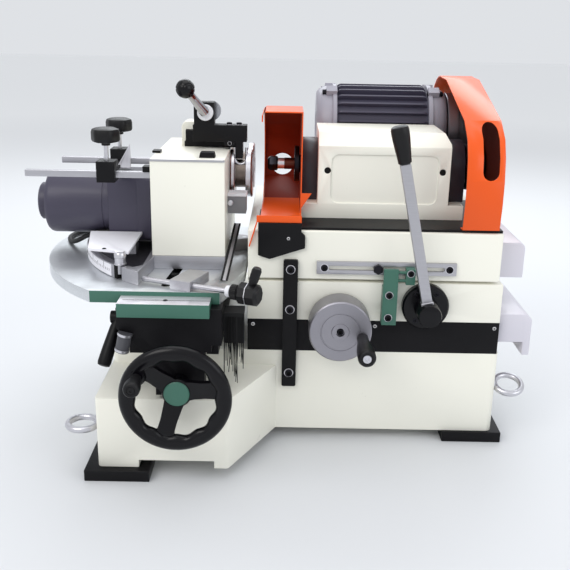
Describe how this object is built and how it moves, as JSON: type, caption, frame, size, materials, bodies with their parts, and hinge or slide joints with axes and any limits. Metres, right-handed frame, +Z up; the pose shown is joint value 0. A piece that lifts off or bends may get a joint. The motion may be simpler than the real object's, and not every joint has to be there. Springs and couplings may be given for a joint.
{
  "type": "cylindrical grinder",
  "caption": "Bench cylindrical grinder: belt-driven wheel spindle with guards on a hand-lever traverse, and a swivelling motor-driven roller work head on a handwheel-fed saddle.",
  "frame": {"origin": "centre of the footprint of the whole machine, on the surface that it stands on", "axes": "+X to the right as the operator sees it, +Y away from the operator, +Z up"},
  "size_m": [0.817, 0.6852, 0.577],
  "materials": {
    "cream_paint": "semi-gloss machine enamel",
    "orange_paint": "gloss powder coat",
    "green_paint": "satin enamel",
    "motor_paint": "satin dark grey paint",
    "black_paint": "satin black",
    "black_casting": "satin black enamel on casting",
    "black_plastic": "moulded, slightly worn",
    "gloss_black": "gloss black",
    "grey_paint": "satin light grey sheet",
    "ground_steel": "ground and lightly oiled",
    "aluminium": "turned",
    "blackened_steel": "blackened",
    "rubber": "matte rubber",
    "cord_sheath": "black cable sheath"
  },
  "bodies": {
    "root": {"base_casting": "cream_paint", "front_left_pad": "black_paint", "front_right_pad": "black_paint", "rear_left_pad": "black_paint", "rear_right_pad": "black_paint", "left_eye_bolt": "ground_steel", "right_eye_bolt": "ground_steel", "cross_bed": "black_casting", "work_bed": "black_casting"},
    "cross_slide": {"middle_slide": "cream_paint", "stop_bracket": "green_paint", "right_lower_cover": "grey_paint", "transport_strap": "black_paint"},
    "cross_wheel": {"cross_handwheel": "aluminium", "cross_leadscrew": "ground_steel"},
    "cross_crank": {"cross_crank_handle": "black_plastic"},
    "traverse_slide": {"upper_slide": "cream_paint", "slot_bar": "ground_steel", "right_upper_cover": "grey_paint", "spindle_base_plate": "black_paint", "spindle_housing": "cream_paint", "left_bearing_cover": "gloss_black", "right_bearing_cover": "gloss_black", "wheel_guard": "orange_paint", "guard_bracket": "black_paint", "spindle_motor": "motor_paint", "drive_belt": "rubber", "belt_guard": "orange_paint"},
    "stroke_stop": {"stroke_stop_block": "green_paint"},
    "hand_lever": {"lever_hub": "gloss_black", "lever_bar": "ground_steel", "lever_grip": "black_plastic"},
    "spindle": {"spindle_shaft": "ground_steel", "spindle_pulley": "blackened_steel"},
    "motor_rotor": {"motor_pulley": "aluminium"},
    "work_saddle": {"saddle": "black_casting", "scale_ledge": "green_paint", "swivel_base_plate": "ground_steel", "angle_screw_block": "ground_steel", "splash_curtain": "rubber"},
    "work_wheel": {"work_handwheel": "gloss_black", "work_leadscrew": "ground_steel"},
    "work_crank": {"work_crank_handle": "black_plastic"},
    "saddle_clamp": {"saddle_clamp_lever": "black_paint"},
    "angle_adjuster": {"angle_screw": "ground_steel"},
    "work_head": {"swivel_plate": "ground_steel", "head_housing": "cream_paint", "head_gearbox": "motor_paint", "head_motor": "motor_paint", "motor_lead": "cord_sheath", "hold_down_post": "cream_paint", "front_rail": "ground_steel", "rear_rail": "ground_steel"},
    "hold_down": {"hold_down_arm": "black_paint"},
    "hold_down_handle": {"hold_down_lever": "ground_steel"},
    "front_roller": {"drive_roller": "ground_steel"},
    "back_roller": {"idle_roller": "ground_steel"},
    "end_stop": {"end_stop_carriage": "black_paint"},
    "front_knob": {"front_stop_knob": "black_plastic"},
    "rear_knob": {"rear_stop_knob": "black_plastic"}
  },
  "joints": [
    {"name": "cross_feed", "type": "slide", "parent": "root", "child": "cross_slide", "axis": [0, 1, 0], "range_m": [-0.06, 0]},
    {"name": "cross_wheel_turn", "type": "hinge", "parent": "cross_slide", "child": "cross_wheel", "pos_m": [0.0935, -0.10235, 0.208], "axis": [0, 1, 0], "range_deg": [-2165, 0]},
    {"name": "cross_crank_spin", "type": "hinge", "parent": "cross_wheel", "child": "cross_crank", "pos_m": [0.12827, -0.10235, 0.19868], "axis": [0, 1, 0], "continuous": true},
    {"name": "traverse", "type": "slide", "parent": "cross_slide", "child": "traverse_slide", "axis": [1, 0, 0], "range_m": [0, 0.045]},
    {"name": "lever_swing", "type": "hinge", "parent": "cross_slide", "child": "hand_lever", "pos_m": [0.229, -0.10235, 0.239], "axis": [0, 1, 0], "range_deg": [0, 76]},
    {"name": "stroke_stop_set", "type": "slide", "parent": "traverse_slide", "child": "stroke_stop", "axis": [1, 0, 0], "range_m": [0, 0.045]},
    {"name": "motor_spin", "type": "hinge", "parent": "traverse_slide", "child": "motor_rotor", "pos_m": [0.3065, 0.18965, 0.484], "axis": [1, 0, 0], "continuous": true},
    {"name": "spindle_spin", "type": "hinge", "parent": "traverse_slide", "child": "spindle", "pos_m": [0.0065, 0.04765, 0.436], "axis": [1, 0, 0], "continuous": true},
    {"name": "saddle_feed", "type": "slide", "parent": "root", "child": "work_saddle", "axis": [0, 1, 0], "range_m": [-0.03, 0.025]},
    {"name": "work_wheel_turn", "type": "hinge", "parent": "work_saddle", "child": "work_wheel", "pos_m": [-0.1445, -0.10235, 0.1587], "axis": [0, 1, 0], "range_deg": [-1085, 905]},
    {"name": "work_crank_spin", "type": "hinge", "parent": "work_wheel", "child": "work_crank", "pos_m": [-0.1965, -0.10235, 0.19247], "axis": [0, 1, 0], "continuous": true},
    {"name": "clamp_turn", "type": "hinge", "parent": "work_saddle", "child": "saddle_clamp", "pos_m": [-0.2385, -0.19735, 0.244], "axis": [1, 0, 0], "range_deg": [-30, 30]},
    {"name": "head_swivel", "type": "hinge", "parent": "work_saddle", "child": "work_head", "pos_m": [-0.0655, 0.03165, 0.3], "axis": [0, 0, 1], "range_deg": [-5, 0]},
    {"name": "angle_set", "type": "slide", "parent": "work_saddle", "child": "angle_adjuster", "axis": [0.9278, -0.373, 0], "range_m": [-0.0215, 0]},
    {"name": "hold_down_lift", "type": "hinge", "parent": "work_head", "child": "hold_down", "pos_m": [-0.1415, 0.02565, 0.481], "axis": [0, -1, 0], "range_deg": [0, 8]},
    {"name": "hold_down_handle_turn", "type": "hinge", "parent": "hold_down", "child": "hold_down_handle", "pos_m": [-0.1275, 0.02565, 0.522], "axis": [0, -1, 0], "range_deg": [0, 57]},
    {"name": "front_roller_spin", "type": "hinge", "parent": "work_head", "child": "front_roller", "pos_m": [-0.0885, 0.03165, 0.421], "axis": [1, 0, 0], "continuous": true},
    {"name": "back_roller_spin", "type": "hinge", "parent": "work_head", "child": "back_roller", "pos_m": [-0.0885, 0.11165, 0.421], "axis": [1, 0, 0], "continuous": true},
    {"name": "end_stop_set", "type": "slide", "parent": "work_head", "child": "end_stop", "axis": [1, 0, 0], "range_m": [-0.08, 0.025]},
    {"name": "front_knob_turn", "type": "hinge", "parent": "end_stop", "child": "front_knob", "pos_m": [-0.2705, -0.08235, 0.457], "axis": [0, 0, 1], "range_deg": [0, 360]},
    {"name": "rear_knob_turn", "type": "hinge", "parent": "end_stop", "child": "rear_knob", "pos_m": [-0.2755, 0.04765, 0.457], "axis": [0, 0, 1], "range_deg": [0, 360]}
  ],
  "couplings": [
    {"joint": "cross_wheel_turn", "follows": "cross_feed", "rad_per_m": 628.32},
    {"joint": "lever_swing", "follows": "traverse", "rad_per_m": 29.412},
    {"joint": "spindle_spin", "follows": "motor_spin", "ratio": 1.6648},
    {"joint": "work_wheel_turn", "follows": "saddle_feed", "rad_per_m": 628.32},
    {"joint": "angle_set", "follows": "head_swivel", "m_per_rad": 0.24},
    {"joint": "hold_down_handle_turn", "follows": "hold_down_lift", "ratio": 7},
    {"joint": "back_roller_spin", "follows": "front_roller_spin", "ratio": 1}
  ]
}
